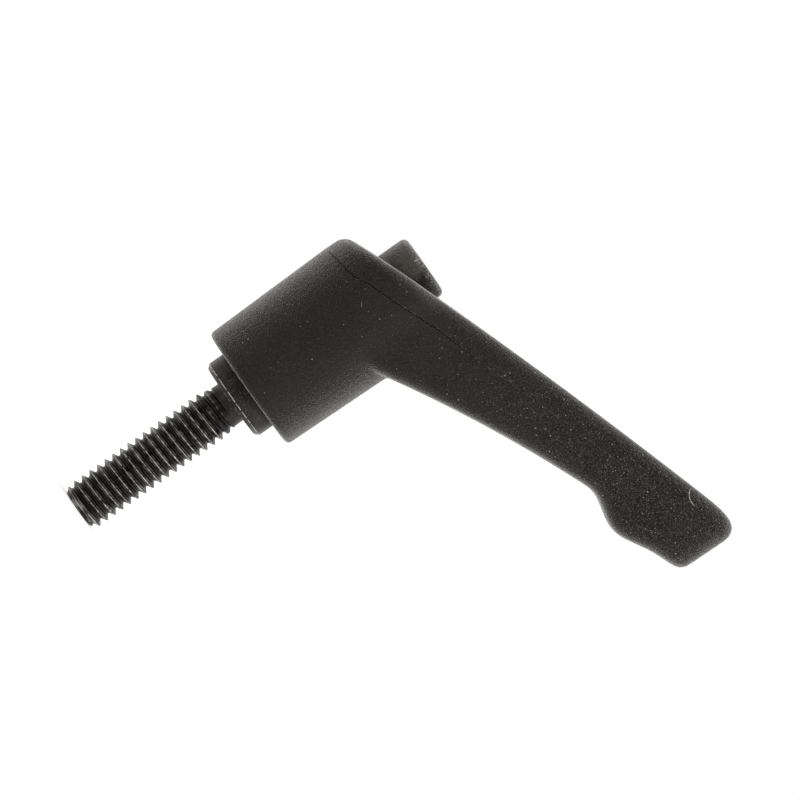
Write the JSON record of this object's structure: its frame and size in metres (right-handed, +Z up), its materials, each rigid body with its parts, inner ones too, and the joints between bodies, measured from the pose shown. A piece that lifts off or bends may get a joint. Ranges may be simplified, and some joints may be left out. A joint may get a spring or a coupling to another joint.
{
  "type": "adjustable clamping lever",
  "caption": "Adjustable clamping lever: a sloping plastic arm with a finger bulge on a round hub, a push button in its sloped top, and a threaded steel stud with a clamping collar.",
  "frame": {"origin": "centre of the collar's lower face, on the stud's axis, where the stud enters the tapped hole", "axes": "+Z up the stud's axis to the push button, +X along the arm to its tip, +Y across the arm"},
  "size_m": [0.0707, 0.0216, 0.0794],
  "materials": {
    "handle_plastic": "fine spark-eroded texture, warm black",
    "blackened_steel": "turned and black oxide coated",
    "screw_steel": "zinc plated",
    "spring_steel": "drawn wire",
    "washer_steel": "stamped and zinc plated",
    "button_plastic": "smooth matt black"
  },
  "bodies": {
    "stud": {"threaded_stud": "blackened_steel", "retaining_screw": "screw_steel"},
    "spring_seat": {"thrust_washer": "washer_steel", "compression_spring": "spring_steel"},
    "handle": {"lever_handle": "handle_plastic"},
    "button": {"push_button": "button_plastic"}
  },
  "joints": [
    {"name": "handle_lift", "type": "slide", "parent": "stud", "child": "spring_seat", "axis": [0, 0, 1], "range_m": [0, 0.0044], "stiffness_N_per_m": 1500, "springref_m": -0.003, "deforming": ["compression_spring"]},
    {"name": "handle_swivel", "type": "hinge", "parent": "spring_seat", "child": "handle", "pos_m": [0, 0, 0], "axis": [0, 0, 1], "continuous": true},
    {"name": "button_press", "type": "slide", "parent": "handle", "child": "button", "axis": [0, 0, -1], "range_m": [0, 0.0044]}
  ],
  "couplings": [
    {"joint": "button_press", "follows": "handle_lift", "ratio": 1}
  ]
}
